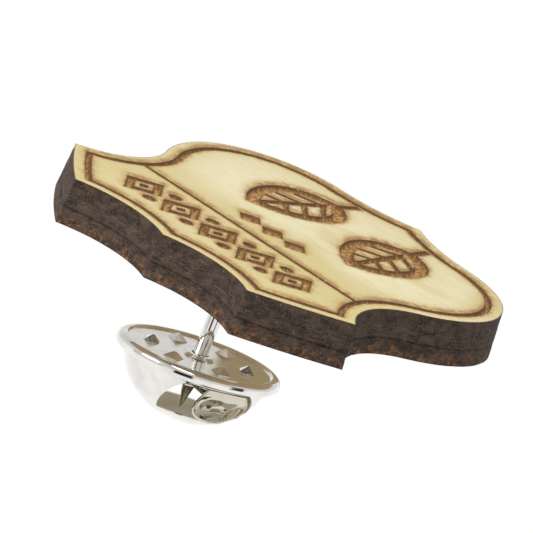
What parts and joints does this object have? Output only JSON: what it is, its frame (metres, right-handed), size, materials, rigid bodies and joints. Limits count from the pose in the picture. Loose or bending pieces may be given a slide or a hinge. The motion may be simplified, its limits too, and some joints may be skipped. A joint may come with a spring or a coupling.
{
  "type": "plywood lapel badge",
  "caption": "Laser-cut plywood shield badge with an engraved border, held by a pointed metal post and a butterfly clutch with squeeze wings.",
  "frame": {"origin": "on the post's axis, in the badge's back face", "axes": "+Z out of the engraved face, +Y towards the scalloped top edge, -Z along the post to its point"},
  "size_m": [0.027, 0.0285, 0.0136],
  "materials": {
    "engraved_birch": "laser-engraved birch veneer, cream with scorched brown recesses and a charred cut edge",
    "core_birch": "cross-grain birch core, charred on its cut edge",
    "back_birch": "plain birch veneer, charred on its cut edge",
    "wood_glue": "thin set glue line",
    "clear_adhesive": "thin cured adhesive film",
    "plated_pad": "nickel-plated steel disc",
    "plated_post": "bright nickel-plated steel nail",
    "nickel_base": "bright nickel plate",
    "nickel_cap": "bright nickel plate",
    "nickel_spring": "bright nickel-plated spring strip"
  },
  "bodies": {
    "badge": {"back_ply": "back_birch", "lower_glue_line": "wood_glue", "core_ply": "core_birch", "upper_glue_line": "wood_glue", "face_ply": "engraved_birch", "pad_adhesive": "clear_adhesive", "mounting_pad": "plated_pad", "post": "plated_post"},
    "clutch": {"clutch_base": "nickel_base", "clutch_cap": "nickel_cap", "spring_web": "nickel_spring"},
    "left_wing": {"left_wing": "nickel_spring"},
    "right_wing": {"right_wing": "nickel_spring"}
  },
  "joints": [
    {"name": "clutch_slide", "type": "slide", "parent": "badge", "child": "clutch", "axis": [0, 0, -1], "range_m": [-0.0003, 0.009]},
    {"name": "left_wing_squeeze", "type": "slide", "parent": "clutch", "child": "left_wing", "axis": [0.8789, -0.4673, -0.0958], "range_m": [0, 0.0006], "stiffness_N_per_m": 800, "springref_m": -0.0004},
    {"name": "right_wing_squeeze", "type": "slide", "parent": "clutch", "child": "right_wing", "axis": [-0.8789, 0.4673, 0.0958], "range_m": [0, 0.0006], "stiffness_N_per_m": 800, "springref_m": -0.0004}
  ],
  "couplings": [
    {"joint": "right_wing_squeeze", "follows": "left_wing_squeeze", "ratio": 1}
  ]
}
